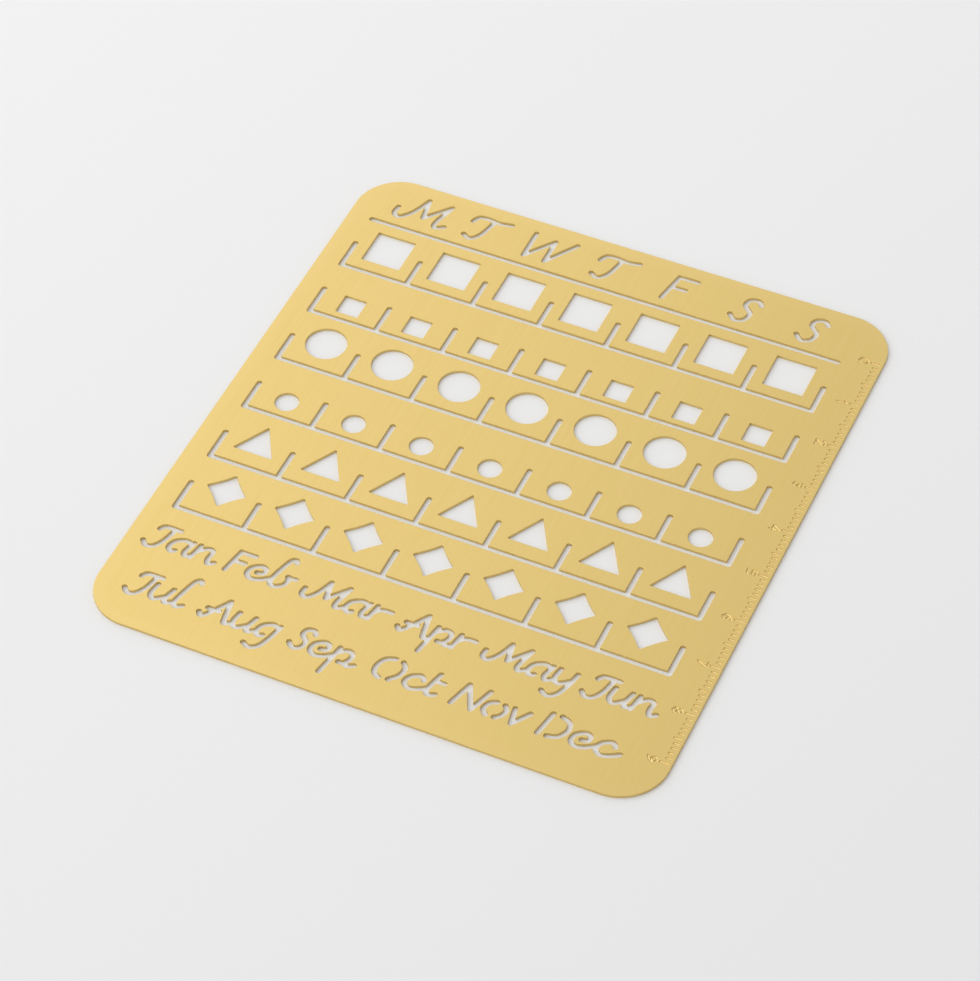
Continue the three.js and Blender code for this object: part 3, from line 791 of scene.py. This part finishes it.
def satin_brass_face():
    """Cold-rolled brass sheet with a satin finish: an even, soft gold with a faint grain along its rolling
    direction, rubbed a little brighter and smoother where it is handled, along its outer edge. Its real
    grain, about 0.05 mm wide, is drawn 0.35 mm wide, so that it shows."""
    return brass(
        "satin_brass_face",
        tones=("#E3C77D", "#E5C981"),
        roughness=(0.37, 0.33),
        grain=(0.35, 12.0, 1.0),
        relief=0.0003,
        rubbed=2.5,
    )


def rubbed_brass_rim():
    """The etched rims: rougher than the rolled face, with patches some millimetres long that hands and
    pens have rubbed brighter and smoother."""
    return brass(
        "rubbed_brass_rim",
        tones=("#D8BB72", "#E6CC86"),
        roughness=(0.52, 0.4),
        grain=(3.0, 3.0, 3.0),
        relief=0.002,
    )


def etched_brass_wall():
    """Acid-etched walls: a grit of about 0.1 mm, in tones a little darker and lighter than the rolled
    face, that breaks up what the wall mirrors."""
    return brass(
        "etched_brass_wall",
        tones=("#D8BC74", "#E8CE8A"),
        roughness=(0.42, 0.32),
        grain=(0.1, 0.1, 0.1),
        relief=0.008,
    )


def etched_brass_mark():
    """The half-etched marks: a shallow acid bite that leaves a grit of about 0.08 mm, which glints
    where the hollow floors face the light. Its tones are painted light: lighter than the acid leaves brass,
    to lift the shade that falls in the recesses."""
    return brass(
        "etched_brass_mark",
        # Painted light: these tones are lighter than etched brass, to lift the shade in the recesses
        tones=("#E0C47B", "#EDD494"),
        roughness=(0.4, 0.3),
        grain=(0.08, 0.08, 0.08),
        relief=0.006,
    )


# Stage

# The studio: a white room, lighter low down and where a wide window stands at the back on the left, and
# one large soft lamp overhead on the left. White has a level of 1. The room is lighter up to a height,
# the sine of the angle over the horizon, and the window brightens from its rim to its heart, cosines of
# the angle from its middle. The lamp is in metres and watts.
ROOM_LEVEL = 0.43
ROOM_LOW_LEVEL = 1.0
ROOM_LOW_HEIGHT = 0.8
WINDOW_LEVEL = 1.35
WINDOW_WAY = (-0.736, 0.552, 0.391)
WINDOW_RIM = 0.629
WINDOW_HEART = 0.958
LAMP_PLACE = (-0.623, -0.519, 1.142)
LAMP_SIDE = 1.9
LAMP_POWER = 11.39

# The floor, in millimetres, apart from the way along which its colour is painted lighter, as painted light
# that falls off towards the front on the right, and the detail of its fibre
FLOOR_REACH = 1600.0
FLOOR_CLEARANCE = 0.02
FLOOR_PAINTED_LIGHT_WAY = (-0.707, 0.707, 0.0)
FLOOR_PAINTED_LIGHT_REACH = 140.0
FLOOR_FIBRE = 0.6
FLOOR_FIBRE_RELIEF = 0.01
FLOOR_FIBRE_DETAIL = 3.0

# The photograph's view, worked out from the sheet's corners and cuts in it, in degrees and millimetres
CAMERA_AZIMUTH = 25.857
CAMERA_ELEVATION = 48.153
CAMERA_ROLL = -1.642
CAMERA_DISTANCE = 557.85
CAMERA_AIM = (0.425, -5.457, 0.0)
CAMERA_SENSOR = 36.0
CAMERA_LENS = 127.9


def pale_floor():
    """Matt pale card with a faint fibre, its colour painted a shade lighter towards the back on the left, as
    painted light that falls off towards the front on the right. The fibre is drawn 0.6 mm wide, which is
    coarser than the real one, so that it shows."""
    material = bpy.data.materials.new("matt_pale_card")
    material.use_nodes = True
    tree = material.node_tree
    tree.nodes.clear()
    place = add_node(tree, "ShaderNodeTexCoord").outputs["Object"]
    # Painted light: the card's colour grows lighter towards the back on the left, standing in for light that
    # falls off towards the front on the right
    across = add_node(tree, "ShaderNodeVectorMath", {0: place, 1: FLOOR_PAINTED_LIGHT_WAY}, operation="DOT_PRODUCT")
    painted_light_share = add_node(
        tree,
        "ShaderNodeMapRange",
        {
            0: across.outputs["Value"],
            "From Min": -FLOOR_PAINTED_LIGHT_REACH * MM,
            "From Max": FLOOR_PAINTED_LIGHT_REACH * MM,
        },
    )
    tone = add_node(
        tree,
        "ShaderNodeMix",
        {"Factor": painted_light_share.outputs[0], "A": linear("#E9E9E9"), "B": linear("#F5F5F5")},
        data_type="RGBA",
    )
    fibre = add_node(
        tree,
        "ShaderNodeTexNoise",
        {"Vector": place, "Scale": 1 / (FLOOR_FIBRE * MM), "Detail": FLOOR_FIBRE_DETAIL},
    )
    raised = add_node(
        tree, "ShaderNodeBump", {"Height": fibre.outputs[0], "Distance": FLOOR_FIBRE_RELIEF * MM}
    )
    shader = add_node(
        tree,
        "ShaderNodeBsdfPrincipled",
        {
            "Base Color": tone.outputs["Result"],
            "Roughness": 0.9,
            "Specular IOR Level": 0.1,
            "Normal": raised.outputs[0],
        },
    )
    add_node(tree, "ShaderNodeOutputMaterial", {"Surface": shader.outputs[0]})
    mesh = bpy.data.meshes.new("pale_floor")
    reach = FLOOR_REACH * MM
    height = (underside - FLOOR_CLEARANCE) * MM
    corners = [(-reach, -reach), (reach, -reach), (reach, reach), (-reach, reach)]
    mesh.from_pydata([(x, y, height) for x, y in corners], [], [(0, 1, 2, 3)])
    mesh.materials.append(material)
    floor = bpy.data.objects.new("pale_floor", mesh)
    bpy.context.scene.collection.objects.link(floor)


def studio_light():
    """The light of the white room with its window, and the soft lamp, turned to the sheet."""
    world = bpy.data.worlds.new("white_studio")
    bpy.context.scene.world = world
    world.use_nodes = True
    tree = world.node_tree
    tree.nodes.clear()
    way = add_node(tree, "ShaderNodeTexCoord").outputs["Generated"]
    height = add_node(tree, "ShaderNodeSeparateXYZ", {0: way}).outputs["Z"]
    room = add_node(
        tree,
        "ShaderNodeMapRange",
        {0: height, "From Max": ROOM_LOW_HEIGHT, "To Min": ROOM_LOW_LEVEL, "To Max": ROOM_LEVEL},
    )
    nearness = add_node(tree, "ShaderNodeVectorMath", {0: way, 1: WINDOW_WAY}, operation="DOT_PRODUCT")
    level = add_node(
        tree,
        "ShaderNodeMapRange",
        {
            0: nearness.outputs["Value"],
            "From Min": WINDOW_RIM,
            "From Max": WINDOW_HEART,
            "To Min": room.outputs[0],
            "To Max": WINDOW_LEVEL,
        },
        interpolation_type="SMOOTHSTEP",
    )
    sky = add_node(
        tree, "ShaderNodeBackground", {"Color": linear("#FFFFFF"), "Strength": level.outputs[0]}
    )
    add_node(tree, "ShaderNodeOutputWorld", {"Surface": sky.outputs[0]})
    lamp = bpy.data.lights.new("soft_lamp", "AREA")
    lamp.shape = "SQUARE"
    lamp.size = LAMP_SIDE
    lamp.energy = LAMP_POWER
    key = bpy.data.objects.new("soft_lamp", lamp)
    key.location = LAMP_PLACE
    key.rotation_euler = (-key.location).to_track_quat("-Z", "Y").to_euler()
    bpy.context.scene.collection.objects.link(key)


def photo_camera():
    """A camera where the photograph was taken from."""
    azimuth, elevation, roll = [math.radians(a) for a in (CAMERA_AZIMUTH, CAMERA_ELEVATION, CAMERA_ROLL)]
    back = Vector((
        math.sin(azimuth) * math.cos(elevation),
        -math.cos(azimuth) * math.cos(elevation),
        math.sin(elevation),
    ))
    lens = bpy.data.cameras.new("photo_camera")
    lens.sensor_width = CAMERA_SENSOR
    lens.lens = CAMERA_LENS
    camera = bpy.data.objects.new("photo_camera", lens)
    camera.location = (Vector(CAMERA_AIM) + back * CAMERA_DISTANCE) * MM
    camera.rotation_mode = "QUATERNION"
    camera.rotation_quaternion = (-back).to_track_quat("-Z", "Y") @ Quaternion((0, 0, 1), roll)
    bpy.context.scene.collection.objects.link(camera)
    bpy.context.scene.camera = camera


sheet = stencil_sheet([satin_brass_face(), rubbed_brass_rim(), etched_brass_wall(), etched_brass_mark()])
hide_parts("stencil_sheet")
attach(sheet, "root")
pale_floor()
studio_light()
photo_camera()
bpy.context.scene.view_settings.view_transform = "Standard"
